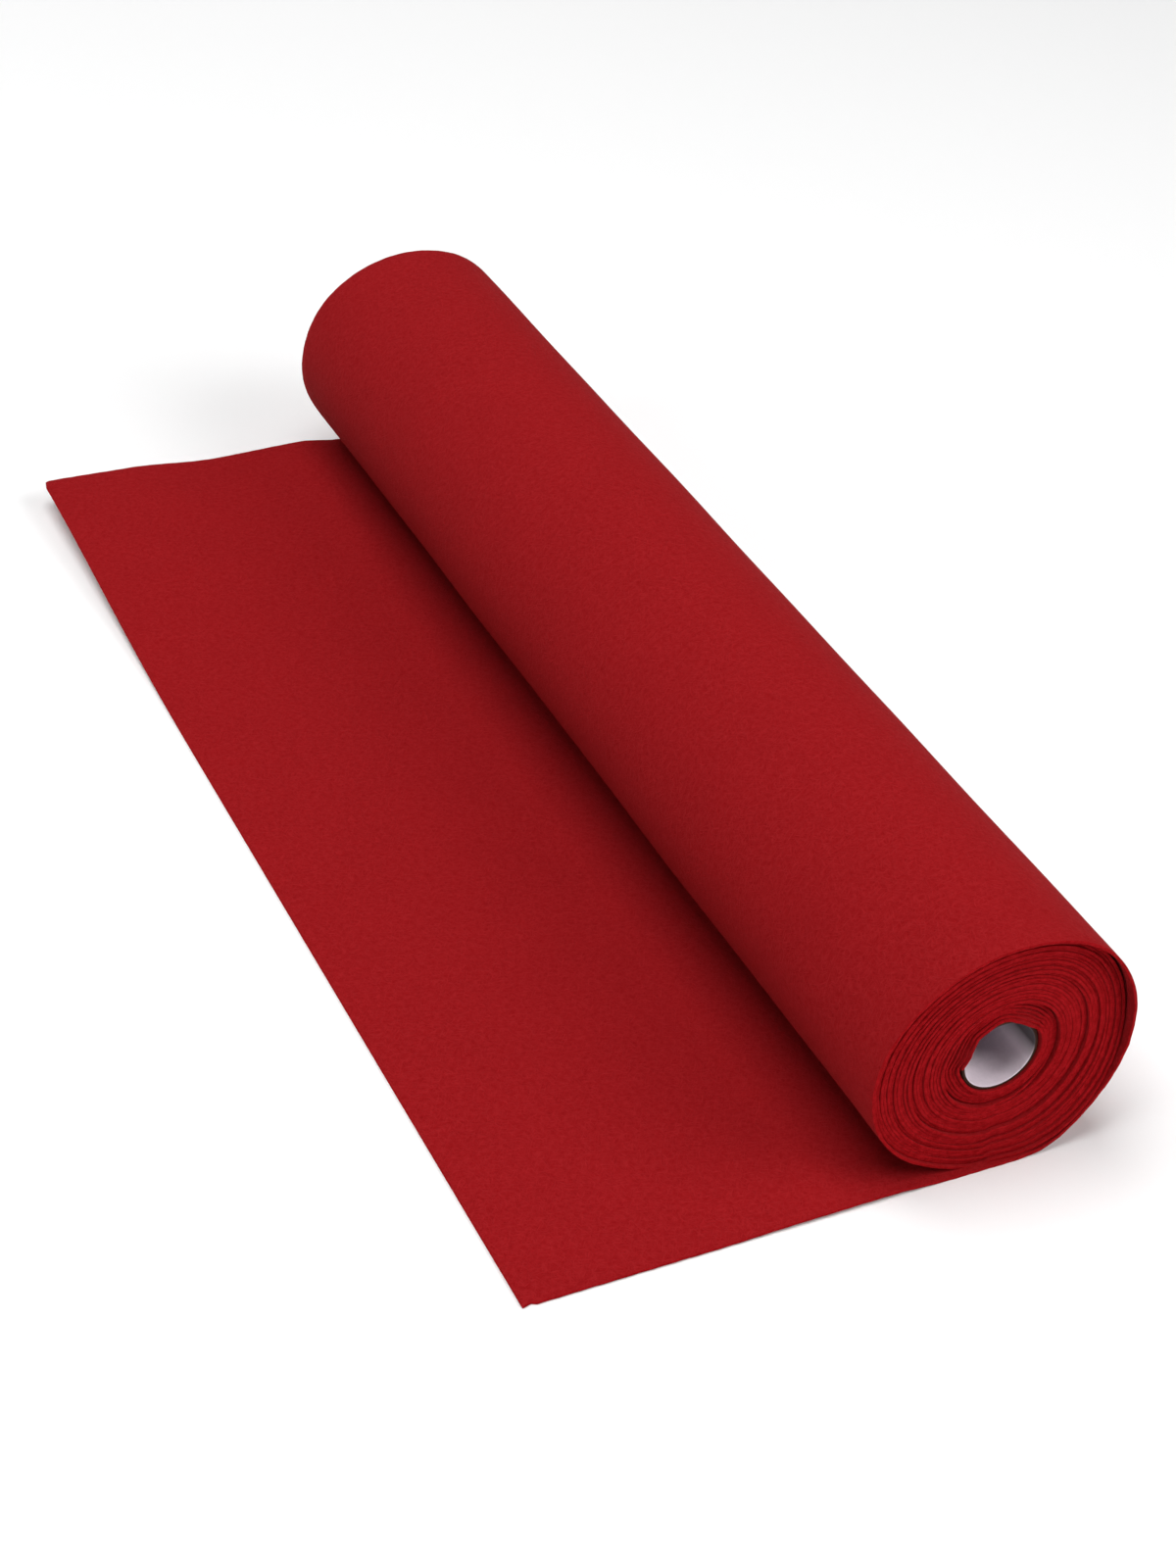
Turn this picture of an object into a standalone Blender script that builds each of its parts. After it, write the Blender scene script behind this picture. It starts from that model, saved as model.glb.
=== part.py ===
"""A roll of needle-punched craft felt on a cardboard core, with its loose end lying flat beside it.

Frame: X along the roll's axis, the loose end towards -Y, Z up. The origin is at the middle of the
bottom of the whole piece. Sizes are in metres.

The pieces are the wound cloth, the loose end (the last stretch of the same cloth, which comes down
the roll's +Y side, passes under it and runs out over the table) and the core tube.
"""

import math
from collections import namedtuple

import bmesh
import bpy
import numpy as np

MM = 0.001

# Cloth
CLOTH_WIDTH = 450.0 * MM
CLOTH_THICKNESS = 1.0 * MM
PIECE_GAP = 0.3 * MM

# Roll. Its axis runs along X, and the loose end reaches from it towards -Y.
AXIS_HEIGHT = 39.6 * MM
LOOSE_END_REACH = 148.5 * MM
SIDE_REACH = 42.0 * MM
AXIS_Y = (LOOSE_END_REACH - SIDE_REACH) / 2.0
AXIAL_SLIP = 3.5 * MM  # how far the inner turns have slid along the axis from the last turn
ROLL_X = -AXIAL_SLIP / 2.0
LOOSE_END_X = AXIAL_SLIP / 2.0
WINDING_STEP = CLOTH_THICKNESS  # the first turn's start makes a step this high inside the winding

# Core tube
CORE_BORE_RADIUS = 11.3 * MM
CORE_WALL = 1.2 * MM
CORE_RECESS = 1.0 * MM
CORE_RADIUS = CORE_BORE_RADIUS + CORE_WALL

# Mesh fineness
ROUND_STEPS = 72
LENGTH_STEPS = 8
PATH_POINT_SPACING = 5.5 * MM
SHEET_STEPS_ALONG_WIDTH = 22

# Angles go from the roll's top towards +Y, in degrees.
LAST_TURN_SEAT = 93.0  # where the winding steps in to make room for the last turn
FIRST_TURN_STARTS = -70.0
STEP_SPREAD = 5.0

# The wound cloth's outline about its axis: a little egg-shaped, as a soft roll lies.
Outline = namedtuple("Outline", "angle radius_mm")
ROLL_OUTLINE = (
    Outline(0.0, 42.1),
    Outline(30.0, 43.2),
    Outline(60.0, 43.1),
    Outline(90.0, 41.9),
    Outline(120.0, 40.6),
    Outline(150.0, 40.0),
    Outline(180.0, 39.6),
    Outline(210.0, 39.9),
    Outline(240.0, 41.6),
    Outline(270.0, 42.7),
    Outline(300.0, 42.5),
    Outline(330.0, 41.8),
)

# How the turns stand at the roll's ends, by groups from the core outwards. share is the part of the
# way from the core to the outside, near and far how far a group stands out at the +X and -X ends.
EndGroup = namedtuple("EndGroup", "share_from share_to near_mm far_mm")
END_GROUPS = (
    EndGroup(0.00, 0.13, -1.2, 0.0),
    EndGroup(0.15, 0.46, -0.4, -0.9),
    EndGroup(0.48, 0.80, 0.2, -1.6),
    EndGroup(0.82, 1.00, -0.1, -1.2),
)

# The roll's girth along its length, from the -X end (0) to the +X end (1).
Girth = namedtuple("Girth", "share size")
ROLL_GIRTH = (
    Girth(0.0, 0.990),
    Girth(0.25, 0.994),
    Girth(0.5, 1.000),
    Girth(0.75, 0.997),
    Girth(1.0, 1.000),
)

# Underside of the last turn where it comes down the roll's +Y side and meets the table.
PathPoint = namedtuple("PathPoint", "out_mm height_mm")
LAST_TURN_PATH = (
    PathPoint(41.4, 33.8),
    PathPoint(39.4, 27.0),
    PathPoint(36.4, 20.6),
    PathPoint(32.6, 14.8),
    PathPoint(28.3, 9.4),
    PathPoint(23.0, 4.4),
    PathPoint(16.5, 1.0),
    PathPoint(9.0, 0.0),
    PathPoint(0.0, 0.0),
)

# How far the loose end's back edge (-X) stands off the table, by its distance from the axis.
BackLift = namedtuple("BackLift", "reach_mm lift_mm")
BACK_EDGE_LIFT = (
    BackLift(12.0, 0.0),
    BackLift(26.0, 3.2),
    BackLift(45.0, 6.0),
    BackLift(80.0, 5.6),
    BackLift(115.0, 8.4),
    BackLift(148.5, 9.0),
)
LIFT_LENGTH = 190.0 * MM
CORNER_ROUND = 2.5 * MM

FELT_RED = (0.323, 0.0123, 0.0144)
CARDBOARD_GREY = (0.52, 0.47, 0.47)


def clear_scene():
    for old in list(bpy.data.objects):
        bpy.data.objects.remove(old, do_unlink=True)


def add_material(name, colour, roughness):
    material = bpy.data.materials.new(name)
    material.use_nodes = True
    shader = material.node_tree.nodes["Principled BSDF"]
    shader.inputs["Base Color"].default_value = (*colour, 1.0)
    shader.inputs["Roughness"].default_value = roughness
    shader.inputs["Metallic"].default_value = 0.0
    return material


def add_object(name, bm, material):
    """Makes one smooth-shaded object of the bmesh, with its faces turned outwards."""
    bmesh.ops.recalc_face_normals(bm, faces=bm.faces)
    mesh = bpy.data.meshes.new(name)
    bm.to_mesh(mesh)
    bm.free()
    mesh.materials.append(material)
    mesh.shade_smooth()
    mesh.set_sharp_from_angle(angle=math.radians(40.0))
    piece = bpy.data.objects.new(name, mesh)
    bpy.context.scene.collection.objects.link(piece)
    return piece


def smooth_step(value):
    value = min(max(value, 0.0), 1.0)
    return value * value * (3.0 - 2.0 * value)


def through(rows, position):
    """Reads a two-column table at a position, eased from row to row."""
    if position <= rows[0][0]:
        return rows[0][1]
    for before, after in zip(rows, rows[1:]):
        if position <= after[0]:
            share = smooth_step((position - before[0]) / (after[0] - before[0]))
            return before[1] + share * (after[1] - before[1])
    return rows[-1][1]


def curve_through(points, steps):
    """Points of a smooth curve through the given points, with so many steps between each two."""
    points = np.array(points, float)
    ends = np.vstack([2 * points[0] - points[1], points, 2 * points[-1] - points[-2]])
    curve = []
    for a, b, c, d in zip(ends, ends[1:], ends[2:], ends[3:]):
        for share in np.arange(steps) / steps:
            curve.append(
                0.5
                * (
                    2 * b
                    + (c - a) * share
                    + (2 * a - 5 * b + 4 * c - d) * share**2
                    + (3 * b - a - 3 * c + d) * share**3
                )
            )
    curve.append(points[-1])
    return np.array(curve)


def evenly_spaced(curve, spacing):
    """The same curve with its points a fixed distance apart along it."""
    lengths = np.concatenate([[0.0], np.cumsum(np.linalg.norm(np.diff(curve, axis=0), axis=1))])
    count = int(math.ceil(lengths[-1] / spacing)) + 1
    wanted = np.linspace(0.0, lengths[-1], count)
    return np.stack([np.interp(wanted, lengths, column) for column in curve.T], axis=1)


def outline_radius(angle):
    """The wound cloth's outer radius at an angle, on a closed smooth curve through the outline's rows."""
    spacing = 360.0 / len(ROLL_OUTLINE)
    before = int(math.floor(angle / spacing))
    share = angle / spacing - before
    a, b, c, d = (ROLL_OUTLINE[(before + k) % len(ROLL_OUTLINE)].radius_mm for k in (-1, 0, 1, 2))
    return MM * 0.5 * (
        2 * b
        + (c - a) * share
        + (2 * a - 5 * b + 4 * c - d) * share**2
        + (3 * b - a - 3 * c + d) * share**3
    )


def outer_point(angle, size):
    """(y, z) on the wound cloth's outside, flat where it rests and set in under the last turn."""
    radius = outline_radius(angle)
    rest_height = CLOTH_THICKNESS + PIECE_GAP
    past_step = (angle - LAST_TURN_SEAT) / STEP_SPREAD
    if angle <= 180.0:
        radius -= rest_height * smooth_step(past_step)
    y = AXIS_Y + size * radius * math.sin(math.radians(angle))
    z = AXIS_HEIGHT * size + size * radius * math.cos(math.radians(angle))
    return y, max(z, rest_height)


def inner_point(angle):
    """(y, z) inside the winding: a turn of a spiral that starts with a step the cloth's thickness high."""
    turned = ((angle - FIRST_TURN_STARTS) % 360.0) / 360.0
    step_share = STEP_SPREAD / 360.0
    if turned < step_share:
        climbed = 1.0 - smooth_step(turned / step_share)
    else:
        climbed = turned
    radius = CORE_RADIUS + PIECE_GAP + WINDING_STEP * climbed
    return (
        AXIS_Y + radius * math.sin(math.radians(angle)),
        AXIS_HEIGHT + radius * math.cos(math.radians(angle)),
    )


def add_ring(bm, x, share, size):
    """A ring of points round the axis, at a share of the way from the bore to the outside."""
    ring = []
    for step in range(ROUND_STEPS):
        angle = 360.0 * step / ROUND_STEPS
        inner = np.array(inner_point(angle))
        outer = np.array(outer_point(angle, size))
        y, z = inner + share * (outer - inner)
        ring.append(bm.verts.new((x, y, z)))
    return ring


def join_rings(bm, rings):
    """Joins each ring to the next with quads, and the last to the first."""
    for first, second in zip(rings, rings[1:] + rings[:1]):
        for a, b, c, d in zip(first, first[1:] + first[:1], second[1:] + second[:1], second):
            bm.faces.new((a, b, c, d))


def girth_at(x_share):
    return through(ROLL_GIRTH, x_share)


def make_felt_roll(material):
    """The wound cloth as one thick-walled roll, with its turns in groups at the ends."""
    bm = bmesh.new()
    near_x = ROLL_X + CLOTH_WIDTH / 2.0
    far_x = ROLL_X - CLOTH_WIDTH / 2.0
    rings = []
    for group in END_GROUPS:
        x = near_x + group.near_mm * MM
        rings.append(add_ring(bm, x, group.share_from, girth_at(1.0)))
        rings.append(add_ring(bm, x, group.share_to, girth_at(1.0)))
    for step in range(1, LENGTH_STEPS):
        x_share = 1.0 - step / LENGTH_STEPS
        rings.append(add_ring(bm, far_x + x_share * CLOTH_WIDTH, 1.0, girth_at(x_share)))
    for group in reversed(END_GROUPS):
        x = far_x - group.far_mm * MM
        rings.append(add_ring(bm, x, group.share_to, girth_at(0.0)))
        rings.append(add_ring(bm, x, group.share_from, girth_at(0.0)))
    join_rings(bm, rings)
    return add_object("felt_roll", bm, material)


def loose_end_path():
    """(y, z) points along the loose end's underside, from the roll's side to the free edge."""
    bend = [(AXIS_Y + point.out_mm * MM, point.height_mm * MM) for point in LAST_TURN_PATH]
    curve = curve_through(bend, 4)
    curve[:, 1] = np.maximum(curve[:, 1], 0.0)
    run_steps = int(LOOSE_END_REACH / PATH_POINT_SPACING)
    run = [(AXIS_Y - LOOSE_END_REACH * step / run_steps, 0.0) for step in range(1, run_steps + 1)]
    return evenly_spaced(np.vstack([curve, run]), PATH_POINT_SPACING)


def back_lift(x, y):
    """How far the loose end stands off the table at a point, rising towards its back edge."""
    towards_back = (LOOSE_END_X - CLOTH_WIDTH / 2.0 + LIFT_LENGTH - x) / LIFT_LENGTH
    at_edge = MM * through(BACK_EDGE_LIFT, (AXIS_Y - y) / MM)
    return at_edge * smooth_step(towards_back) ** 1.5


def width_stations():
    """x positions across the cloth, from the back edge to the front edge."""
    half = CLOTH_WIDTH / 2.0
    inside = np.linspace(-half, half - CORNER_ROUND, SHEET_STEPS_ALONG_WIDTH)
    return [LOOSE_END_X + x for x in (*inside, half)]


def make_felt_loose_end(material):
    """The last stretch of cloth: a strip of quads along its path, given its thickness by Solidify."""
    bm = bmesh.new()
    path = loose_end_path()
    stations = width_stations()
    rows = []
    for y, z in path:
        row = [bm.verts.new((x, y, z + back_lift(x, y))) for x in stations]
        rows.append(row)
    rows[-1][-1].co.y += CORNER_ROUND
    for first, second in zip(rows, rows[1:]):
        for a, b, c, d in zip(first, first[1:], second[1:], second):
            bm.faces.new((a, b, c, d))
    piece = add_object("felt_loose_end", bm, material)
    underside_up = piece.data.polygons[-1].normal.z > 0.0
    thick = piece.modifiers.new("cloth thickness", "SOLIDIFY")
    thick.thickness = CLOTH_THICKNESS
    thick.offset = 1.0 if underside_up else -1.0
    thick.use_even_offset = True
    return piece


def make_core_tube(material):
    """A plain cardboard tube, set back a little inside both ends of the winding."""
    bm = bmesh.new()
    half_length = CLOTH_WIDTH / 2.0 - CORE_RECESS
    profile = (
        (-half_length, CORE_BORE_RADIUS),
        (half_length, CORE_BORE_RADIUS),
        (half_length, CORE_RADIUS),
        (-half_length, CORE_RADIUS),
    )
    wall = [bm.verts.new((x, 0.0, radius)) for x, radius in profile]
    loop = [bm.edges.new((a, b)) for a, b in zip(wall, wall[1:] + wall[:1])]
    bmesh.ops.spin(
        bm,
        geom=wall + loop,
        axis=(1.0, 0.0, 0.0),
        cent=(0.0, 0.0, 0.0),
        angle=math.tau,
        steps=ROUND_STEPS,
        use_merge=True,
    )
    tube = add_object("core_tube", bm, material)
    tube.location = (ROLL_X, AXIS_Y, AXIS_HEIGHT)
    return tube


def main():
    clear_scene()
    felt = add_material("red felt", FELT_RED, 0.95)
    cardboard = add_material("grey cardboard", CARDBOARD_GREY, 0.85)
    make_felt_roll(felt)
    make_felt_loose_end(felt)
    make_core_tube(cardboard)


main()
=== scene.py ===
"""Builds a roll of needle-punched craft felt on its cardboard core, with its stage and camera.

The felt is one cut length: a true spiral of thin cloth, from the first turn on the core out to the
loose end that passes under the roll and lies on the table.
"""

import math
from collections import namedtuple

import bmesh
import bpy
import numpy as np
from mathutils import Matrix, Vector


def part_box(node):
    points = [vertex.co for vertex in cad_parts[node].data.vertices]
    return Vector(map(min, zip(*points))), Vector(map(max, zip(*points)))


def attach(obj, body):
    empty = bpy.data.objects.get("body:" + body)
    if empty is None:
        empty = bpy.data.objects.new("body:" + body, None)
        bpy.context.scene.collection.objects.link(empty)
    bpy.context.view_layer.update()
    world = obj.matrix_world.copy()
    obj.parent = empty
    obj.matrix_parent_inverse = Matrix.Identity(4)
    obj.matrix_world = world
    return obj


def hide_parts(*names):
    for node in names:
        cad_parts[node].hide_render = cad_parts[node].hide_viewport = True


bl_info = {
    "name": "Roll of Felt",
    "version": (1, 0, 0),
    "blender": (4, 5, 0),
    "location": "View3D > Sidebar > Felt",
    "description": "Builds a roll of craft felt on a cardboard core, with a loose end",
    "category": "Object",
}

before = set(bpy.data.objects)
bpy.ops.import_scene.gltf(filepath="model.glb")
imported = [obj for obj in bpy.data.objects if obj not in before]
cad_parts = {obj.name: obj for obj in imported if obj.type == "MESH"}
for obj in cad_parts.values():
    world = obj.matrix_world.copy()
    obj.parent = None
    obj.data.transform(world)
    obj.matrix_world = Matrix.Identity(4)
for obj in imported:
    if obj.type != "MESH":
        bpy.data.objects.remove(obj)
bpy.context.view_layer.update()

MM = 0.001
CORE_LOW, CORE_HIGH = (Vector(corner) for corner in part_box("core_tube"))
ROLL_LOW, ROLL_HIGH = (Vector(corner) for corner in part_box("felt_roll"))
SHEET_LOW, SHEET_HIGH = (Vector(corner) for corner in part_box("felt_loose_end"))

AXIS_Y = (CORE_LOW.y + CORE_HIGH.y) / 2.0
AXIS_HEIGHT = (CORE_LOW.z + CORE_HIGH.z) / 2.0
CORE_RADIUS = (CORE_HIGH.y - CORE_LOW.y) / 2.0
ROLL_X = (CORE_LOW.x + CORE_HIGH.x) / 2.0
LOOSE_END_REACH = AXIS_Y - SHEET_LOW.y
CLOTH_WIDTH = SHEET_HIGH.x - SHEET_LOW.x

# Angles go round the roll from its top towards +Y, in degrees. The cloth winds outwards with the
# angle growing, and leaves the roll at its bottom. A turn number counts turns inwards from there.
BOTTOM = 180.0
FIRST_TURN_STARTS = -92.0
STEP_SHARE = 0.08  # part of a turn over which the cloth steps up over its own start
STEPPED_TURNS = 9.0  # turns over which that step fades away

# Outside of the roll as it lies, about the core's axis.
Outline = namedtuple("Outline", "angle radius_mm")
ROLL_OUTLINE = (
    Outline(0.0, 42.1),
    Outline(30.0, 43.3),
    Outline(60.0, 43.2),
    Outline(90.0, 41.9),
    Outline(120.0, 41.2),
    Outline(150.0, 41.3),
    Outline(180.0, 40.1),
    Outline(210.0, 39.9),
    Outline(240.0, 41.6),
    Outline(270.0, 42.8),
    Outline(300.0, 42.6),
    Outline(330.0, 41.8),
)

# How far the rest of the winding stands away from the last turn.
Slack = namedtuple("Slack", "angle gap_mm")
LAST_TURN_SLACK = (
    Slack(-40.0, 0.0),
    Slack(20.0, 0.25),
    Slack(75.0, 0.8),
    Slack(100.0, 0.5),
    Slack(125.0, 0.3),
    Slack(150.0, 0.1),
    Slack(172.0, 0.0),
)

# Places where the winding is loose and a gap shows between two turns.
LooseGap = namedtuple("LooseGap", "turn spread width_mm")
LOOSE_GAPS = (
    LooseGap(1.4, 0.5, 0.10),
    LooseGap(3.6, 0.6, 0.07),
    LooseGap(6.1, 0.7, 0.08),
    LooseGap(12.3, 0.3, 0.14),
    LooseGap(21.9, 0.3, 0.22),
)

# How far the near edge of each turn stands out (+) along the axis from the roll's end.
EdgeSlip = namedtuple("EdgeSlip", "turn slip_mm")
EDGE_SLIP = (
    EdgeSlip(0.00, 3.9),
    EdgeSlip(0.28, 3.8),
    EdgeSlip(0.42, 2.9),
    EdgeSlip(0.55, 1.8),
    EdgeSlip(0.80, 1.4),
    EdgeSlip(1.05, 0.8),
    EdgeSlip(1.30, 0.1),
    EdgeSlip(1.75, 0.3),
    EdgeSlip(2.05, -0.25),
    EdgeSlip(3.70, 0.3),
    EdgeSlip(4.00, -0.3),
    EdgeSlip(6.10, 0.25),
    EdgeSlip(6.40, -0.35),
    EdgeSlip(8.70, 0.2),
    EdgeSlip(9.00, -0.25),
    EdgeSlip(11.70, 0.5),
    EdgeSlip(12.20, 0.9),
    EdgeSlip(12.55, -0.5),
    EdgeSlip(14.60, -0.1),
    EdgeSlip(14.90, -0.4),
    EdgeSlip(17.20, 0.1),
    EdgeSlip(17.50, -0.3),
    EdgeSlip(19.60, 0.1),
    EdgeSlip(19.90, -0.2),
    EdgeSlip(21.30, 0.2),
    EdgeSlip(21.90, 0.5),
    EdgeSlip(22.25, -1.2),
    EdgeSlip(23.90, -1.2),
    EdgeSlip(24.20, -1.0),
    EdgeSlip(25.90, -0.9),
    EdgeSlip(26.20, -0.4),
    EdgeSlip(27.20, -0.2),
    EdgeSlip(27.40, 0.1),
    EdgeSlip(27.76, 0.4),
)

# The wound turns stand out further at the roll's lower +Y side, least so deep in the roll.
LEAN_ANGLE = 140.0
LEAN_SPREAD = 75.0
LEAN_OUT = 3.0 * MM
LEAN_TURNS = 11.0

# Underside of the last turn where it comes down the roll's +Y side and meets the table.
PathPoint = namedtuple("PathPoint", "out_mm height_mm")
LAST_TURN_PATH = (
    PathPoint(41.4, 33.8),
    PathPoint(39.4, 27.0),
    PathPoint(36.4, 20.6),
    PathPoint(32.6, 14.8),
    PathPoint(28.3, 9.4),
    PathPoint(23.0, 4.4),
    PathPoint(16.5, 1.0),
    PathPoint(9.0, 0.0),
)
LAST_TURN_LEAVES = 97.0

# How far the first turn's near edge stands off the tube (+) or hangs in over its end (-). The turns
# wound over it follow it less and less.
EdgeHang = namedtuple("EdgeHang", "angle out_mm")
FIRST_TURN_HANG = (
    EdgeHang(-92.0, 0.0),
    EdgeHang(-76.0, -1.9),
    EdgeHang(-60.0, -1.3),
    EdgeHang(-45.0, 0.2),
    EdgeHang(-27.0, 0.2),
    EdgeHang(-11.0, 1.0),
    EdgeHang(2.0, 0.5),
    EdgeHang(12.0, -0.7),
    EdgeHang(30.0, -1.2),
    EdgeHang(46.0, -1.1),
    EdgeHang(57.0, 0.2),
    EdgeHang(72.0, 0.5),
    EdgeHang(95.0, 0.4),
    EdgeHang(130.0, 0.1),
    EdgeHang(160.0, 0.0),
)
FIRST_TURN_HANG_LENGTH = 2.2 * MM

# How far the loose end's edges stand off the table, by their distance from the roll's axis.
EdgeLift = namedtuple("EdgeLift", "reach_mm lift_mm")
BACK_EDGE_LIFT = (
    EdgeLift(12.0, 0.0),
    EdgeLift(20.0, 2.2),
    EdgeLift(28.0, 5.0),
    EdgeLift(45.0, 6.9),
    EdgeLift(80.0, 6.0),
    EdgeLift(115.0, 8.6),
    EdgeLift(148.5, 9.0),
)
FRONT_EDGE_LIFT = (
    EdgeLift(12.0, 0.0),
    EdgeLift(32.0, 1.0),
    EdgeLift(58.0, 0.9),
    EdgeLift(92.0, 0.1),
    EdgeLift(148.5, 0.1),
)
BACK_LIFT_LENGTH = 190.0 * MM
FRONT_LIFT_LENGTH = 60.0 * MM
CORNER_ROUND = 2.5 * MM
CORNER_CUT = 0.3 * CORNER_ROUND
FREE_EDGE_SHORT = 0.5 * MM  # the free edge is cut a little short of the solid's

CORE_CLEARANCE = 0.15 * MM  # between the tube and the first turn
LAST_TURN_ENDS = 0.98  # turn at which the rest of the winding starts to stand away
LAST_TURN_BLEND = 0.04
LEAST_COSINE = 0.2  # keeps the flat at the roll's bottom from reaching round its sides

POINT_SPACING = 2.2 * MM
BEND_STEPS = 12  # points between two rows of the last turn's path
RUN_POINTS = 120  # points along the flat run
HIDDEN_COLUMNS = (4.0, 14.0, 40.0, 110.0)  # mm in from each edge
SPLIT_WIDTHS = (100.0 * MM, 30.0 * MM, 15.0 * MM, 8.0 * MM)  # a shown face wider than this is halved
SHOWN_TURNS = 1.25  # turns that get a fine mesh, counted in from the roll's bottom
INNER_TURNS_SHOWN = 20.1  # from here in, the near edge gets a fine mesh
INNER_EDGE_CUTS = 3

# Unevenness of the winding: how far each kind moves the cloth, and the lengths it repeats over.
TURN_SLIP = 0.12 * MM  # along the axis, from turn to turn
TURN_SLIP_TURNS = (0.8, 1.7, 3.1)
ALONG_SLIP = 0.12 * MM  # along the axis, as the cloth runs on
ALONG_SLIP_LENGTHS = (7.0 * MM, 14.0 * MM, 31.0 * MM)
SOFT_SWELL = 0.22 * MM  # out from the axis, all over the roll
SOFT_SWELL_LENGTHS = (70.0 * MM, 130.0 * MM)
EDGE_SWELL = 0.16 * MM  # out from the axis, near the cloth's edges
EDGE_SWELL_LENGTHS = (22.0 * MM, 40.0 * MM)
EDGE_SWELL_REACH = 9.0 * MM
RIPPLE = 0.10 * MM  # up from the table, on the loose end
RIPPLE_LENGTHS = (60.0 * MM, 110.0 * MM)
RIPPLE_FREE_EDGE = 25.0 * MM  # the ripple fades over this length at the free edge
RIPPLE_REACH = 100.0 * MM  # and from this far in from it, towards the roll
RIPPLE_BLEND = 30.0 * MM
SWELL_RADIUS = 0.045  # the swell is read on a cylinder this wide
EVEN_FROM_TURN = 22.0  # the collar next to the core is wound more evenly
EVEN_SHARE = 0.7
TIGHT_FROM_TURN = 4.0  # from here in, the swell fades away
TIGHT_BLEND = 6.0
WOUND_FROM_TURN = 0.9  # from here in, the cloth is wound and no longer comes down to the table
LEAN_FROM_TURN = 1.0
SETTLED_FROM_TURN = 1.1  # from here in, each turn slips by itself
SLIP_BLEND = 0.6
HANG_FROM = 0.6  # turns out from the cloth's start at which the hang starts to fade
HANG_BLEND = 7.0
BEND_CLEAR = 2.0 * MM  # the swell starts this high above the table
BEND_BLEND = 10.0 * MM

RIM_ROUND = 0.25 * MM
RIM_STEPS = 128
MOUTH_DARKENING_FROM = 8.0 * MM  # depth in the tube at which the liner starts to get darker towards the mouth
MOUTH_DARKENING_TO = 1.0 * MM  # depth at which it is as dark as it gets
PAINTED_SHADE_FROM = -5.0 * MM  # height above the axis where the liner's painted shade starts, darkening upwards
PAINTED_SHADE_TO = 0.5 * MM  # height above the axis where the painted shade is darkest

Softbox = namedtuple("Softbox", "name place size power")
SOFTBOXES = (
    Softbox("top_softbox", (0.0, -0.35, 2.2), 1.6, 39.6),
    Softbox("left_softbox", (0.2, -1.9, 1.1), 1.4, 11.8),
    Softbox("right_softbox", (1.4, 1.3, 1.4), 1.4, 31.0),
    Softbox("back_softbox", (-1.9, -0.35, 1.25), 1.4, 10.0),
)
LIGHTS_AIM = Vector((0.0, 0.0, 0.03))
CAMERA_PLACE = (0.72570, -0.34141, 0.58109)
CAMERA_AZIMUTH, CAMERA_ELEVATION, CAMERA_TILT = 62.83, 36.02, 3.82
FLOOR_HALF = 2.4


def smooth_step(value):
    value = np.clip(value, 0.0, 1.0)
    return value * value * (3.0 - 2.0 * value)


def wrapped(degrees):
    """The same angle, from -180 to 180."""
    return (degrees + 180.0) % 360.0 - 180.0


def through(rows, position):
    """Reads a two-column table at each position, eased from row to row."""
    places, values = np.array(rows, float).T
    position = np.clip(position, places[0], places[-1])
    before = np.clip(np.searchsorted(places, position, side="right") - 1, 0, len(places) - 2)
    share = smooth_step((position - places[before]) / (places[before + 1] - places[before]))
    return values[before] + share * (values[before + 1] - values[before])


def round_table(rows, angle):
    """Reads an evenly spaced table of angles, on a closed smooth curve."""
    values = np.array([row[1] for row in rows])
    place = np.asarray(angle) / (360.0 / len(rows))
    before = np.floor(place).astype(int)
    share = place - before
    a, b, c, d = (values[(before + k) % len(rows)] for k in (-1, 0, 1, 2))
    return 0.5 * (
        2 * b
        + (c - a) * share
        + (2 * a - 5 * b + 4 * c - d) * share**2
        + (3 * b - a - 3 * c + d) * share**3
    )


def waves(seed, positions, wavelengths):
    """Smooth unevenness from -1 to 1: sines of the given wavelengths, each in its own direction."""
    chance = np.random.default_rng(seed)
    total = np.zeros(np.shape(positions)[0])
    for wavelength in wavelengths:
        for _ in range(3):
            direction = chance.normal(size=np.shape(positions)[1])
            direction /= np.linalg.norm(direction)
            phase = chance.uniform(0.0, math.tau)
            total += np.sin(positions @ direction * math.tau / wavelength + phase)
    return total / (3 * len(wavelengths)) * 1.6


def curve_through(points, steps):
    """Points of a smooth curve through the given points, with so many steps between each two."""
    points = np.array(points, float)
    ends = np.vstack([2 * points[0] - points[1], points, 2 * points[-1] - points[-2]])
    share = (np.arange(steps) / steps)[:, None]
    pieces = []
    for a, b, c, d in zip(ends, ends[1:], ends[2:], ends[3:]):
        pieces.append(
            0.5
            * (
                2 * b
                + (c - a) * share
                + (2 * a - 5 * b + 4 * c - d) * share**2
                + (3 * b - a - 3 * c + d) * share**3
            )
        )
    return np.vstack(pieces + [points[-1:]])


class FeltSettings(bpy.types.PropertyGroup):
    """Sizes and colours of the cloth."""

    turns: bpy.props.IntProperty(
        name="Whole Turns", description="Whole turns of cloth round the core", default=27
    )
    thickness: bpy.props.FloatProperty(
        name="Thickness", description="Thickness of the felt", default=1.02 * MM, unit="LENGTH"
    )
    edge_round: bpy.props.FloatProperty(
        name="Edge Round", description="Rounding of the cut edge", default=0.14 * MM, unit="LENGTH"
    )
    colour_light: bpy.props.StringProperty(
        name="Raised Fibres", description="Colour of the fibres that catch the light", default="971B1F"
    )
    colour_deep: bpy.props.StringProperty(
        name="Deep Fibres", description="Colour between the fibres", default="890F13"
    )
    edge_light: bpy.props.StringProperty(
        name="Cut Fibre Ends", description="Colour of the fibre ends on the cut edge", default="AC161D"
    )
    edge_deep: bpy.props.StringProperty(
        name="Cut Edge, Deep", description="Colour between the ends on the cut edge", default="89070C"
    )


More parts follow.
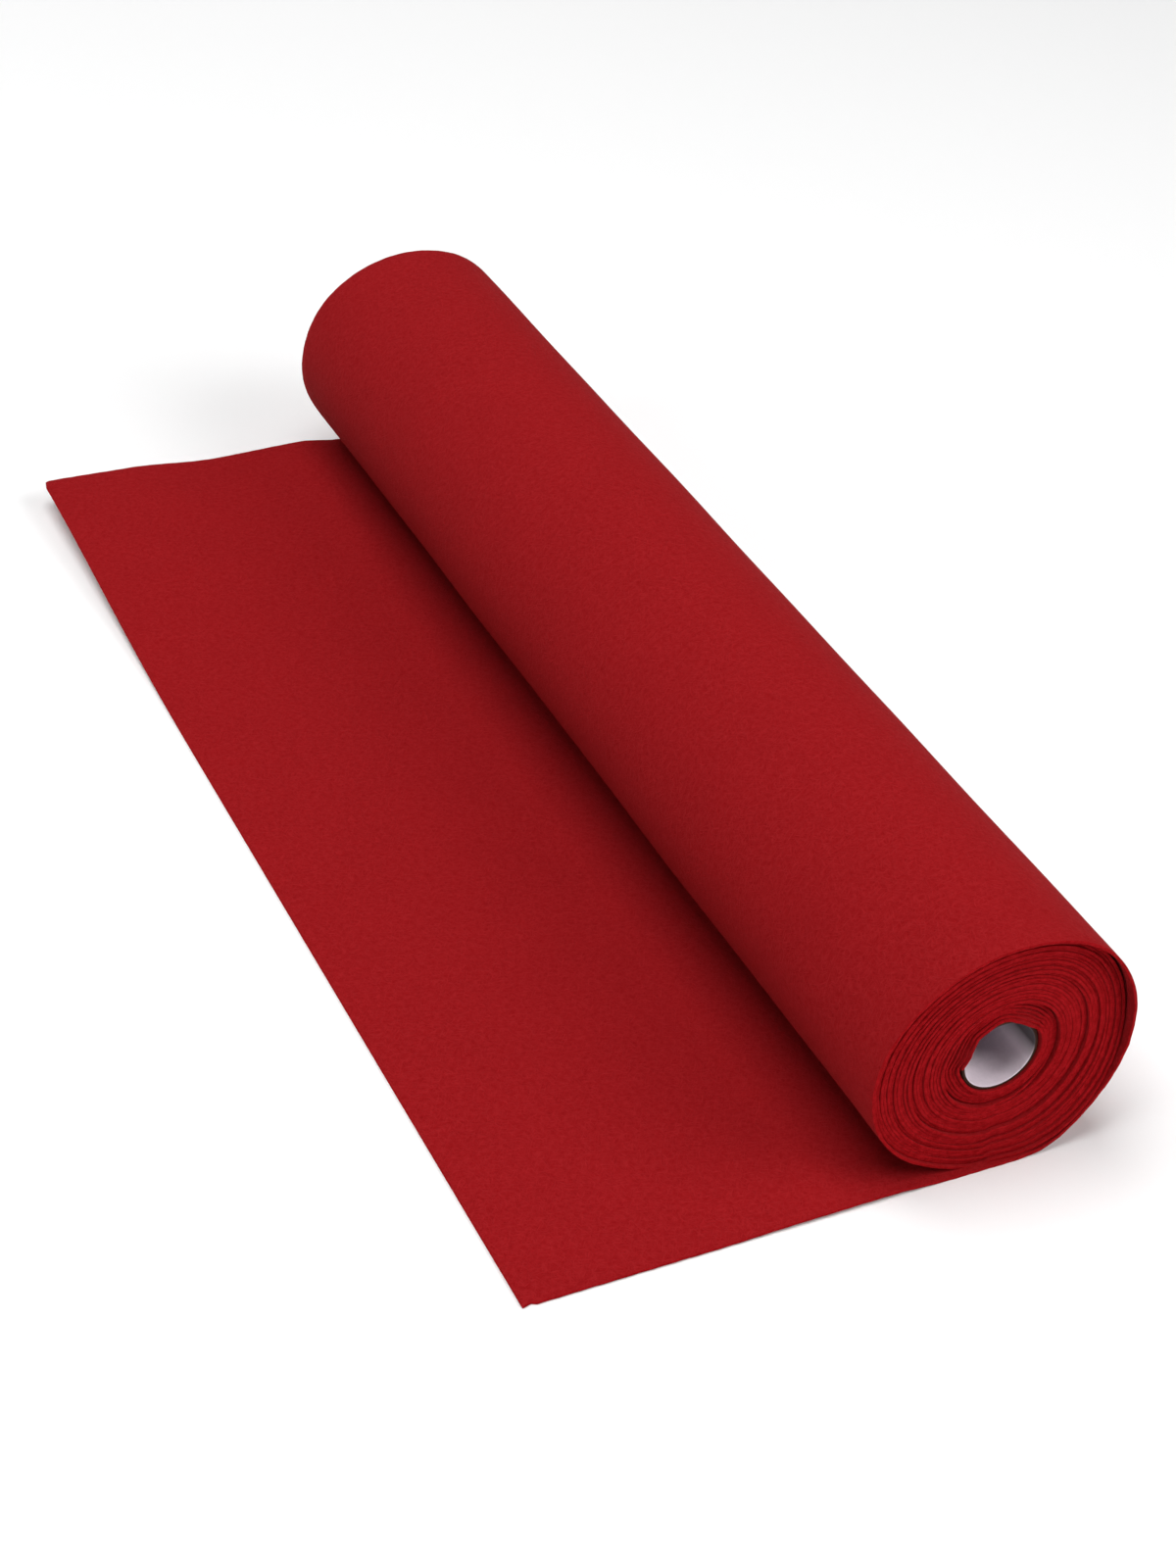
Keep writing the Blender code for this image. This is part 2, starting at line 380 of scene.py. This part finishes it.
class CoreSettings(bpy.types.PropertyGroup):
    """Sizes and colours of the cardboard tube."""

    wall: bpy.props.FloatProperty(
        name="Wall", description="Thickness of the tube's wall", default=1.2 * MM, unit="LENGTH"
    )
    liner_colour: bpy.props.StringProperty(
        name="Liner", description="Colour of the paper inside the tube", default="F8E8F2"
    )
    board_colour: bpy.props.StringProperty(
        name="Board", description="Colour of the tube's cut end", default="3A2014"
    )


class StageSettings(bpy.types.PropertyGroup):
    """The floor, the lights and the camera."""

    floor_colour: bpy.props.StringProperty(
        name="Floor", description="Colour of the floor", default="FAFAFA"
    )
    lens: bpy.props.FloatProperty(
        name="Lens", description="Focal length in millimetres", default=67.2
    )


def from_hex(code):
    """Linear colour with alpha from an sRGB hex code."""
    parts = [int(code[k : k + 2], 16) / 255.0 for k in (0, 2, 4)]
    linear = [c / 12.92 if c <= 0.04045 else ((c + 0.055) / 1.055) ** 2.4 for c in parts]
    return (*linear, 1.0)


def add_node(tree, kind, settings=None, links=None):
    """Adds a node, sets its properties and input values, and links its inputs from sockets."""
    node = tree.nodes.new(kind)
    for name, value in (settings or {}).items():
        if isinstance(name, str) and hasattr(node, name):
            setattr(node, name, value)
        else:
            node.inputs[name].default_value = value
    for name, socket in (links or {}).items():
        tree.links.new(socket, node.inputs[name])
    return node


def new_material(name):
    material = bpy.data.materials.new(name)
    material.use_nodes = True
    tree = material.node_tree
    tree.nodes.clear()
    return material, tree


def finish_material(tree, settings, links):
    shader = add_node(tree, "ShaderNodeBsdfPrincipled", settings, links)
    add_node(tree, "ShaderNodeOutputMaterial", links={"Surface": shader.outputs["BSDF"]})


def felt_face_material(settings):
    """Needle-punched polyester felt: short fibres pressed flat at random, matt, with a soft nap.

    A fibre is about 0.03 mm thick. It is drawn about seventeen times coarser, so that it shows.
    """
    material, tree = new_material("needle-punched polyester felt")
    uv = add_node(tree, "ShaderNodeTexCoord").outputs["UV"]
    in_mm = add_node(
        tree, "ShaderNodeMapping", {"Scale": (1000.0, 1000.0, 1000.0)}, {"Vector": uv}
    ).outputs["Vector"]
    bend = add_node(
        tree, "ShaderNodeTexNoise", {"Scale": 0.22, "Detail": 1.0}, {"Vector": in_mm}
    ).outputs["Color"]
    bent = add_node(
        tree,
        "ShaderNodeVectorMath",
        {"operation": "MULTIPLY_ADD", 1: (2.4, 2.4, 0.0)},
        {0: bend, 2: in_mm},
    ).outputs["Vector"]
    fibres = None
    for degrees, length, width in ((12.0, 3.2, 0.52), (71.0, 2.8, 0.56), (128.0, 3.6, 0.48)):
        turned = add_node(
            tree,
            "ShaderNodeMapping",
            {"Rotation": (0.0, 0.0, math.radians(degrees))},
            {"Vector": bent},
        ).outputs["Vector"]
        drawn = add_node(
            tree, "ShaderNodeMapping", {"Scale": (1.0 / length, 1.0 / width, 1.0)}, {"Vector": turned}
        ).outputs["Vector"]
        strands = add_node(
            tree, "ShaderNodeTexNoise", {"Scale": 1.0, "Detail": 1.0, "Roughness": 0.45}, {"Vector": drawn}
        ).outputs["Fac"]
        if fibres is None:
            fibres = strands
        else:
            fibres = add_node(
                tree, "ShaderNodeMath", {"operation": "MAXIMUM"}, {0: fibres, 1: strands}
            ).outputs["Value"]
    raised = add_node(
        tree, "ShaderNodeMapRange", {"From Min": 0.44, "From Max": 0.76}, {"Value": fibres}
    ).outputs["Result"]
    clumps = add_node(
        tree, "ShaderNodeTexNoise", {"Scale": 0.6, "Detail": 2.0, "Roughness": 0.5}, {"Vector": in_mm}
    ).outputs["Fac"]
    clouds = add_node(
        tree, "ShaderNodeTexNoise", {"Scale": 0.045, "Detail": 2.0}, {"Vector": in_mm}
    ).outputs["Fac"]
    height = add_node(
        tree,
        "ShaderNodeMath",
        {"operation": "MULTIPLY_ADD", 1: 1.3},
        {0: clumps, 2: raised},
    ).outputs["Value"]
    share = add_node(
        tree, "ShaderNodeMapRange", {"From Min": 0.52, "From Max": 1.63}, {"Value": height}
    ).outputs["Result"]
    colour = add_node(
        tree,
        "ShaderNodeMix",
        {"data_type": "RGBA", 6: from_hex(settings.colour_deep), 7: from_hex(settings.colour_light)},
        {0: share},
    ).outputs[2]
    shade = add_node(
        tree,
        "ShaderNodeMapRange",
        {"From Min": 0.3, "From Max": 0.7, "To Min": 0.985, "To Max": 1.015},
        {"Value": clouds},
    ).outputs["Result"]
    tint = add_node(
        tree, "ShaderNodeVectorMath", {"operation": "SCALE"}, {0: colour, "Scale": shade}
    ).outputs["Vector"]
    bump = add_node(
        tree,
        "ShaderNodeBump",
        {"Strength": 0.7, "Distance": 0.18 * MM},
        {"Height": height},
    ).outputs["Normal"]
    finish_material(
        tree,
        {
            "Roughness": 0.92,
            "Specular IOR Level": 0.03,
            "Sheen Weight": 0.015,
            "Sheen Roughness": 0.45,
            "Sheen Tint": from_hex("E8C9C4"),
        },
        {"Base Color": tint, "Normal": bump},
    )
    return material


def felt_edge_material(settings):
    """The felt's cut edge: fibre ends stand out of it, so it is matt, and more mottled than the face.

    An end is about 0.03 mm thick. It is drawn about thirteen times coarser, so that it shows.
    """
    material, tree = new_material("needle-punched polyester felt, cut edge")
    place = add_node(tree, "ShaderNodeTexCoord").outputs["Object"]
    ends = add_node(
        tree,
        "ShaderNodeTexNoise",
        {"Scale": 2600.0, "Detail": 2.0, "Roughness": 0.65},
        {"Vector": place},
    ).outputs["Fac"]
    tufts = add_node(
        tree, "ShaderNodeTexNoise", {"Scale": 620.0, "Detail": 2.0}, {"Vector": place}
    ).outputs["Fac"]
    height = add_node(
        tree, "ShaderNodeMath", {"operation": "ADD"}, {0: ends, 1: tufts}
    ).outputs["Value"]
    share = add_node(
        tree, "ShaderNodeMapRange", {"From Min": 0.72, "From Max": 1.30}, {"Value": height}
    ).outputs["Result"]
    colour = add_node(
        tree,
        "ShaderNodeMix",
        {"data_type": "RGBA", 6: from_hex(settings.edge_deep), 7: from_hex(settings.edge_light)},
        {0: share},
    ).outputs[2]
    bump = add_node(
        tree,
        "ShaderNodeBump",
        {"Strength": 0.6, "Distance": 0.25 * MM},
        {"Height": height},
    ).outputs["Normal"]
    finish_material(
        tree,
        {
            "Roughness": 0.96,
            "Specular IOR Level": 0.03,
            "Sheen Weight": 0.005,
            "Sheen Roughness": 0.5,
            "Sheen Tint": from_hex("E8C9C4"),
        },
        {"Base Color": colour, "Normal": bump},
    )
    return material


def paper_material(name, colour_code, contrast, mouth=1.0, painted_shade_share=1.0):
    """Wound grey paper board: matt, with a faint fibre mottle.

    Where mouth is under 1, the board is darker towards the tube's mouths, down to that share. Where
    the last argument is under 1, the board gets painted shade: it darkens to that share as it rises
    past the axis, standing in for shadow in the bore.
    """
    material, tree = new_material(name)
    place = add_node(tree, "ShaderNodeTexCoord").outputs["Object"]
    fibre = add_node(
        tree, "ShaderNodeTexNoise", {"Scale": 900.0, "Detail": 4.0, "Roughness": 0.6}, {"Vector": place}
    ).outputs["Fac"]
    shade = add_node(
        tree,
        "ShaderNodeMapRange",
        {"From Min": 0.3, "From Max": 0.7, "To Min": 1.0 - contrast, "To Max": 1.0 + contrast},
        {"Value": fibre},
    ).outputs["Result"]
    from_middle = add_node(
        tree, "ShaderNodeMapping", {"Location": (-ROLL_X, 0.0, 0.0)}, {"Vector": place}
    ).outputs["Vector"]
    split = add_node(tree, "ShaderNodeSeparateXYZ", links={"Vector": from_middle})
    along, height = split.outputs["X"], split.outputs["Z"]
    either_way = add_node(tree, "ShaderNodeMath", {"operation": "ABSOLUTE"}, {0: along}).outputs["Value"]
    mouth_x = (CORE_HIGH.x - CORE_LOW.x) / 2.0
    # the liner gets darker towards the tube's mouths, down to the mouth share
    mouth_darkening = add_node(
        tree,
        "ShaderNodeMapRange",
        {
            "From Min": mouth_x - MOUTH_DARKENING_FROM,
            "From Max": mouth_x - MOUTH_DARKENING_TO,
            "To Min": 1.0,
            "To Max": mouth,
        },
        {"Value": either_way},
    ).outputs["Result"]
    # painted shade: the liner darkens as it rises past the axis, standing in for shadow in the bore
    painted_shade_above = add_node(
        tree,
        "ShaderNodeMapRange",
        {
            "From Min": AXIS_HEIGHT + PAINTED_SHADE_FROM,
            "From Max": AXIS_HEIGHT + PAINTED_SHADE_TO,
            "To Min": 1.0,
            "To Max": painted_shade_share,
        },
        {"Value": height},
    ).outputs["Result"]
    for part in (mouth_darkening, painted_shade_above):
        shade = add_node(
            tree, "ShaderNodeMath", {"operation": "MULTIPLY"}, {0: shade, 1: part}
        ).outputs["Value"]
    tint = add_node(
        tree,
        "ShaderNodeVectorMath",
        {"operation": "SCALE", 0: from_hex(colour_code)[:3]},
        {"Scale": shade},
    ).outputs["Vector"]
    bump = add_node(
        tree, "ShaderNodeBump", {"Strength": 0.3, "Distance": 0.05 * MM}, {"Height": fibre}
    ).outputs["Normal"]
    finish_material(
        tree,
        {"Roughness": 0.8, "Specular IOR Level": 0.15},
        {"Base Color": tint, "Normal": bump},
    )
    return material


class Winding:
    """The cloth's path round the roll and out over the table, in the plane across the axis."""

    def __init__(self, settings):
        self.thickness = settings.thickness
        self.first_turn = settings.turns + (BOTTOM - FIRST_TURN_STARTS) / 360.0
        self.inner_radius = CORE_RADIUS + CORE_CLEARANCE + self.thickness
        wound = float(np.mean([row.radius_mm for row in ROLL_OUTLINE])) * MM - self.inner_radius
        gaps = sum(gap.width_mm for gap in LOOSE_GAPS) * MM
        self.pitch = (wound - gaps) / self.first_turn
        self.depth_in_all = self.depth(self.first_turn)
        self.points, self.turn = self.lay_path()

    def stepped(self, turn):
        """The turn's number, changed so that the first turns lie tight and step over the cloth's start."""
        wound = self.first_turn - turn
        share = wound - np.floor(wound)
        step = smooth_step((share - 1.0 + STEP_SHARE) / STEP_SHARE)
        tight = 1.0 - smooth_step((wound - 1.0) / STEPPED_TURNS)
        return turn - tight * (step - share)

    def depth(self, turn):
        """How far under the outside a turn lies."""
        total = self.pitch * self.stepped(turn)
        for gap in LOOSE_GAPS:
            total = total + gap.width_mm * MM * smooth_step((turn - gap.turn) / gap.spread)
        return total

    def radius(self, turn):
        """Radius of the cloth's outer face, by the turn's number."""
        angle = BOTTOM - 360.0 * turn
        past_bottom = turn - np.floor(turn)
        envelope = round_table(ROLL_OUTLINE, angle) * MM
        flat = AXIS_HEIGHT / np.maximum(np.cos(np.radians(angle - BOTTOM)), LEAST_COSINE)
        envelope = np.minimum(envelope, flat) + self.depth(past_bottom)
        slack = through(LAST_TURN_SLACK, wrapped(angle)) * MM
        slack = slack * smooth_step((turn - LAST_TURN_ENDS) / LAST_TURN_BLEND)
        kept = 1.0 - self.depth(turn) / self.depth_in_all
        envelope = envelope - slack
        return self.inner_radius + (envelope - self.inner_radius) * kept

    def lay_path(self):
        """(y, z) points of the cloth's middle, from the first turn to the free edge, and their turns."""
        leaves = (BOTTOM - LAST_TURN_LEAVES) / 360.0
        fine = np.arange(self.first_turn, leaves, -1.0 / 360.0)
        angle = np.radians(BOTTOM - 360.0 * fine)
        radius = self.radius(fine)
        wound = np.stack([AXIS_Y + radius * np.sin(angle), AXIS_HEIGHT + radius * np.cos(angle)], 1)
        bend = [(AXIS_Y + point.out_mm * MM, point.height_mm * MM) for point in LAST_TURN_PATH]
        down = curve_through([wound[-1]] + bend, BEND_STEPS)
        down[:, 1] = np.maximum(down[:, 1], 0.0)
        out = np.linspace(down[-1, 0], AXIS_Y - LOOSE_END_REACH + FREE_EDGE_SHORT, RUN_POINTS)[1:]
        run = np.stack([out, np.zeros(len(out))], 1)
        outside = np.vstack([wound, down[1:], run])
        tail = np.linspace(leaves, 0.0, len(down))[1:]
        turns = np.concatenate([fine, tail, np.zeros(len(run))])
        along = np.gradient(outside, axis=0)
        along /= np.linalg.norm(along, axis=1)[:, None]
        inward = np.stack([along[:, 1], -along[:, 0]], 1)
        middle = outside + inward * self.thickness / 2.0
        length = np.concatenate([[0.0], np.cumsum(np.linalg.norm(np.diff(middle, axis=0), axis=1))])
        count = int(length[-1] / POINT_SPACING)
        wanted = np.linspace(0.0, length[-1], count)
        self.length = float(length[-1])
        self.along = wanted
        points = np.stack([np.interp(wanted, length, column) for column in middle.T], 1)
        return points, np.interp(wanted, length, turns)


def column_places():
    """x of the strip's first columns, from the back edge to the front edge."""
    edge = np.array(HIDDEN_COLUMNS) * MM
    half = CLOTH_WIDTH / 2.0
    return np.concatenate([[-half], -half + edge, [0.0], half - edge[::-1], [half]])


def strip_of(path):
    """A bmesh strip: the path's edges, extruded from column to column along X.

    Each point keeps how far along the cloth it is, and the number of its turn.
    """
    bm = bmesh.new()
    along_layer = bm.verts.layers.float.new("along")
    turn_layer = bm.verts.layers.float.new("turn")
    columns = column_places()
    row = []
    for (y, z), along, turn in zip(path.points, path.along, path.turn):
        vert = bm.verts.new((columns[0], y, z))
        vert[along_layer] = along
        vert[turn_layer] = turn
        row.append(vert)
    edges = [bm.edges.new(pair) for pair in zip(row, row[1:])]
    for before, after in zip(columns, columns[1:]):
        made = bmesh.ops.extrude_edge_only(bm, edges=edges)["geom"]
        verts = [item for item in made if isinstance(item, bmesh.types.BMVert)]
        edges = [item for item in made if isinstance(item, bmesh.types.BMEdge)]
        bmesh.ops.translate(bm, verts=verts, vec=(after - before, 0.0, 0.0))
        edges = [edge for edge in edges if all(vert.co.x > before + 1e-6 for vert in edge.verts)]
    return bm, along_layer, turn_layer


def refine_shown(bm, turn_layer):
    """Splits the strip's long faces where the cloth shows, so that it can be uneven there."""
    for widest in SPLIT_WIDTHS:
        across = [
            edge
            for edge in bm.edges
            if abs(edge.verts[0].co.x - edge.verts[1].co.x) > widest
            and max(vert[turn_layer] for vert in edge.verts) < SHOWN_TURNS
            and abs(edge.verts[0].co.y - edge.verts[1].co.y) < 1e-5
        ]
        bmesh.ops.subdivide_edges(bm, edges=across, cuts=1, use_grid_fill=True)
    near_column = CLOTH_WIDTH / 2.0 - HIDDEN_COLUMNS[0] * MM * 1.01
    inner_edge = [
        edge
        for edge in bm.edges
        if min(vert[turn_layer] for vert in edge.verts) > INNER_TURNS_SHOWN
        and min(vert.co.x for vert in edge.verts) > near_column
        and abs(edge.verts[0].co.x - edge.verts[1].co.x) > MM
    ]
    bmesh.ops.subdivide_edges(bm, edges=inner_edge, cuts=INNER_EDGE_CUTS, use_grid_fill=True)


def loose_end_lift(x, y):
    """How far the loose end stands off the table at each point."""
    reach = (AXIS_Y - y) / MM
    half = CLOTH_WIDTH / 2.0
    near_back = smooth_step((BACK_LIFT_LENGTH - half - x) / BACK_LIFT_LENGTH) ** 1.5
    near_front = smooth_step((x - half + FRONT_LIFT_LENGTH) / FRONT_LIFT_LENGTH)
    back = through(BACK_EDGE_LIFT, reach) * near_back
    front = through(FRONT_EDGE_LIFT, reach) * near_front
    return (back + front) * MM


def slip_along_axis(turn, along, angle):
    """How far each point of the cloth stands out along the axis."""
    slip = through(EDGE_SLIP, turn) * MM
    by_turn = waves(3, turn[:, None], TURN_SLIP_TURNS) * TURN_SLIP
    by_length = waves(4, along[:, None], ALONG_SLIP_LENGTHS) * ALONG_SLIP
    inner_even = 1.0 - EVEN_SHARE * smooth_step((turn - EVEN_FROM_TURN) / SLIP_BLEND)
    settled = smooth_step((turn - SETTLED_FROM_TURN) / SLIP_BLEND)
    from_lean = np.abs(wrapped(np.degrees(angle) - LEAN_ANGLE))
    lean = LEAN_OUT * smooth_step(1.0 - from_lean / LEAN_SPREAD)
    fade = 1.0 - smooth_step((turn - LEAN_FROM_TURN) / LEAN_TURNS)
    lean = lean * np.where(turn > WOUND_FROM_TURN, fade, 0.0)
    return slip + lean + (by_turn * settled + by_length) * inner_even


def swell_out(path, turn, x, z, angle, on_table):
    """How far each point of the cloth stands out from the axis, past the even winding."""
    half = CLOTH_WIDTH / 2.0
    from_edge = half - np.abs(x)
    place = np.stack([x, np.sin(angle) * SWELL_RADIUS, np.cos(angle) * SWELL_RADIUS], 1)
    soft = waves(5, place, SOFT_SWELL_LENGTHS) * SOFT_SWELL
    edge = waves(6, place, EDGE_SWELL_LENGTHS) * EDGE_SWELL * np.exp(-from_edge / EDGE_SWELL_REACH)
    above_bend = smooth_step((z - BEND_CLEAR) / BEND_BLEND)
    wound = np.where(on_table, 0.0, 1.0) * above_bend
    loose = 1.0 - smooth_step((turn - TIGHT_FROM_TURN) / TIGHT_BLEND)
    wound = np.where(turn > WOUND_FROM_TURN, loose, wound)
    hang = through(FIRST_TURN_HANG, np.degrees(angle)) * MM
    hang = hang * (1.0 - smooth_step((path.first_turn - turn - HANG_FROM) / HANG_BLEND))
    near_edge = smooth_step((x - half + FIRST_TURN_HANG_LENGTH) / FIRST_TURN_HANG_LENGTH)
    return (soft + edge) * wound * above_bend + hang * near_edge


def shape_strip(bm, path, along_layer, turn_layer):
    """Slips each turn along the axis, and gives the cloth its lifts and unevenness."""
    verts = list(bm.verts)
    place = np.array([vert.co for vert in verts])
    along = np.array([vert[along_layer] for vert in verts])
    turn = np.array([vert[turn_layer] for vert in verts])
    x, y, z = place.T
    on_table = (path.length - along) / LOOSE_END_REACH < 1.0
    out_y, out_z = y - AXIS_Y, z - AXIS_HEIGHT
    radius = np.hypot(out_y, out_z)
    angle = np.arctan2(out_y, out_z)
    swell = swell_out(path, turn, x, z, angle, on_table)
    y = y + out_y / radius * swell
    z = z + out_z / radius * swell
    ripple = waves(7, np.stack([x, y], 1), RIPPLE_LENGTHS) * RIPPLE + RIPPLE
    from_free_edge = smooth_step((path.length - along) / RIPPLE_FREE_EDGE)
    near_roll = smooth_step((path.length - along - RIPPLE_REACH) / RIPPLE_BLEND)
    lift = loose_end_lift(x, y) + ripple * (1.0 - near_roll) * from_free_edge
    z = z + np.where(on_table, lift, 0.0)
    x = x + ROLL_X + slip_along_axis(turn, along, angle)
    for vert, point in zip(verts, np.stack([x, y, z], 1)):
        vert.co = point


def round_corners(bm):
    """Rounds the loose end's two corners a little."""
    free_edge = min(vert.co.y for vert in bm.verts)
    corners = []
    for side in (-1.0, 1.0):
        corners.append(
            max(
                (vert for vert in bm.verts if vert.co.y < free_edge + CORNER_ROUND),
                key=lambda vert: side * vert.co.x,
            )
        )
    for vert, side in zip(corners, (-1.0, 1.0)):
        vert.co.x -= side * CORNER_CUT
        vert.co.y += CORNER_CUT


def map_cloth(bm, along_layer):
    """UV map in metres: along the cloth and across it."""
    uv = bm.loops.layers.uv.new("cloth")
    for face in bm.faces:
        for loop in face.loops:
            loop[uv].uv = (loop.vert[along_layer], loop.vert.co.x)


def link_piece(name, bm, materials):
    mesh = bpy.data.meshes.new(name)
    bm.to_mesh(mesh)
    bm.free()
    for material in materials:
        mesh.materials.append(material)
    mesh.shade_smooth()
    piece = bpy.data.objects.new(name, mesh)
    bpy.context.scene.collection.objects.link(piece)
    return piece


class FELT_OT_cloth(bpy.types.Operator):
    """Builds the felt: one strip, wound on the core, with its loose end on the table"""

    bl_idname = "felt.cloth"
    bl_label = "Felt Cloth"

    def execute(self, context):
        settings = context.scene.felt_cloth
        path = Winding(settings)
        bm, along_layer, turn_layer = strip_of(path)
        refine_shown(bm, turn_layer)
        map_cloth(bm, along_layer)
        shape_strip(bm, path, along_layer, turn_layer)
        round_corners(bm)
        bmesh.ops.recalc_face_normals(bm, faces=bm.faces)
        cloth = link_piece(
            "felt_cloth", bm, [felt_face_material(settings), felt_edge_material(settings)]
        )
        thick = cloth.modifiers.new("cloth thickness", "SOLIDIFY")
        thick.thickness = settings.thickness
        thick.offset = 0.0
        thick.material_offset_rim = 1
        edge = cloth.modifiers.new("cut edge", "BEVEL")
        edge.width = settings.edge_round
        edge.segments = 2
        edge.limit_method = "ANGLE"
        edge.angle_limit = math.radians(60.0)
        edge.use_clamp_overlap = False
        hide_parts("felt_roll", "felt_loose_end")
        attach(cloth, "root")
        return {"FINISHED"}


class FELT_OT_core(bpy.types.Operator):
    """Builds the cardboard tube inside the roll"""

    bl_idname = "felt.core"
    bl_label = "Core Tube"

    def execute(self, context):
        settings = context.scene.felt_core
        bm = bmesh.new()
        low, high = CORE_LOW.x, CORE_HIGH.x
        bore = CORE_RADIUS - settings.wall
        corners = ((low, bore), (high, bore), (high, CORE_RADIUS), (low, CORE_RADIUS))
        wall = [bm.verts.new((x, AXIS_Y, AXIS_HEIGHT + radius)) for x, radius in corners]
        for pair in zip(wall, wall[1:] + wall[:1]):
            bm.edges.new(pair)
        bmesh.ops.bevel(
            bm,
            geom=wall,
            offset=RIM_ROUND,
            segments=2,
            profile=0.5,
            affect="VERTICES",
            material=-1,
        )
        bmesh.ops.spin(
            bm,
            geom=list(bm.verts) + list(bm.edges),
            axis=(1.0, 0.0, 0.0),
            cent=(0.0, AXIS_Y, AXIS_HEIGHT),
            angle=math.tau,
            steps=RIM_STEPS,
            use_merge=True,
        )
        bmesh.ops.recalc_face_normals(bm, faces=bm.faces)
        axis = Vector((0.0, AXIS_Y, AXIS_HEIGHT))
        for face in bm.faces:
            out = face.calc_center_median() - axis
            if math.hypot(out.y, out.z) > bore + RIM_ROUND:
                face.material_index = 1
        tube = link_piece(
            "cardboard_tube",
            bm,
            [
                # painted shade on the liner's upper side, darkened to a tenth above the axis
                paper_material(
                    "white-lined grey board", settings.liner_colour, 0.04, mouth=0.84, painted_shade_share=0.10
                ),
                paper_material("grey board, cut end", settings.board_colour, 0.15),
            ],
        )
        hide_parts("core_tube")
        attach(tube, "root")
        return {"FINISHED"}


class FELT_OT_stage(bpy.types.Operator):
    """Builds the pale floor, the soft lights and the camera"""

    bl_idname = "felt.stage"
    bl_label = "Stage"

    def execute(self, context):
        settings = context.scene.felt_stage
        self.make_floor(settings)
        for softbox in SOFTBOXES:
            self.make_light(*softbox)
        self.make_world(context)
        self.make_camera(context, settings)
        context.scene.view_settings.view_transform = "Standard"
        return {"FINISHED"}

    def make_floor(self, settings):
        bm = bmesh.new()
        bmesh.ops.create_grid(bm, x_segments=1, y_segments=1, size=FLOOR_HALF)
        material, tree = new_material("matt studio floor")
        finish_material(tree, {"Base Color": from_hex(settings.floor_colour), "Roughness": 0.9}, {})
        link_piece("studio_floor", bm, [material])

    def make_light(self, name, place, size, power):
        light = bpy.data.lights.new(name, "AREA")
        light.size = size
        light.energy = power
        lamp = bpy.data.objects.new(name, light)
        turn = (LIGHTS_AIM - Vector(place)).to_track_quat("-Z", "Y").to_matrix().to_4x4()
        lamp.matrix_world = Matrix.Translation(place) @ turn
        bpy.context.scene.collection.objects.link(lamp)

    def make_world(self, context):
        """A white backdrop behind the floor, which the camera sees but which lights nothing."""
        world = bpy.data.worlds.new("white backdrop")
        world.use_nodes = True
        tree = world.node_tree
        seen = tree.nodes.new("ShaderNodeLightPath").outputs["Is Camera Ray"]
        backdrop = tree.nodes["Background"]
        backdrop.inputs["Color"].default_value = (1.0, 1.0, 1.0, 1.0)
        tree.links.new(seen, backdrop.inputs["Strength"])
        context.scene.world = world

    def make_camera(self, context, settings):
        """The camera looks down from the +X, -Y side, along the roll."""
        camera = bpy.data.cameras.new("camera")
        camera.sensor_width = 36.0
        camera.lens = settings.lens
        camera.clip_start = 0.01
        azimuth, elevation, tilt = (
            math.radians(degrees) for degrees in (CAMERA_AZIMUTH, CAMERA_ELEVATION, CAMERA_TILT)
        )
        level = math.cos(elevation)
        back = Vector((math.sin(azimuth) * level, -math.cos(azimuth) * level, math.sin(elevation)))
        right = (-back).cross(Vector((0.0, 0.0, 1.0))).normalized()
        up = back.cross(right)
        turned_right = right * math.cos(tilt) + up * math.sin(tilt)
        turned_up = up * math.cos(tilt) - right * math.sin(tilt)
        holder = bpy.data.objects.new("camera", camera)
        axes = Matrix((turned_right, turned_up, back)).transposed().to_4x4()
        holder.matrix_world = Matrix.Translation(CAMERA_PLACE) @ axes
        context.scene.collection.objects.link(holder)
        context.scene.camera = holder


class FELT_PT_panel(bpy.types.Panel):
    """Lists the operators and their settings"""

    bl_idname = "FELT_PT_panel"
    bl_label = "Roll of Felt"
    bl_space_type = "VIEW_3D"
    bl_region_type = "UI"
    bl_category = "Felt"

    def draw(self, context):
        for operator, settings in (
            (FELT_OT_cloth, context.scene.felt_cloth),
            (FELT_OT_core, context.scene.felt_core),
            (FELT_OT_stage, context.scene.felt_stage),
        ):
            box = self.layout.box()
            box.operator(operator.bl_idname)
            for name in settings.__annotations__:
                box.prop(settings, name)


CLASSES = (
    FeltSettings,
    CoreSettings,
    StageSettings,
    FELT_OT_cloth,
    FELT_OT_core,
    FELT_OT_stage,
    FELT_PT_panel,
)


def register():
    for item in CLASSES:
        bpy.utils.register_class(item)
    bpy.types.Scene.felt_cloth = bpy.props.PointerProperty(type=FeltSettings)
    bpy.types.Scene.felt_core = bpy.props.PointerProperty(type=CoreSettings)
    bpy.types.Scene.felt_stage = bpy.props.PointerProperty(type=StageSettings)


def unregister():
    del bpy.types.Scene.felt_stage
    del bpy.types.Scene.felt_core
    del bpy.types.Scene.felt_cloth
    for item in reversed(CLASSES):
        bpy.utils.unregister_class(item)


def main():
    register()
    bpy.ops.felt.cloth()
    bpy.ops.felt.core()
    bpy.ops.felt.stage()


if __name__ == "__main__":
    main()
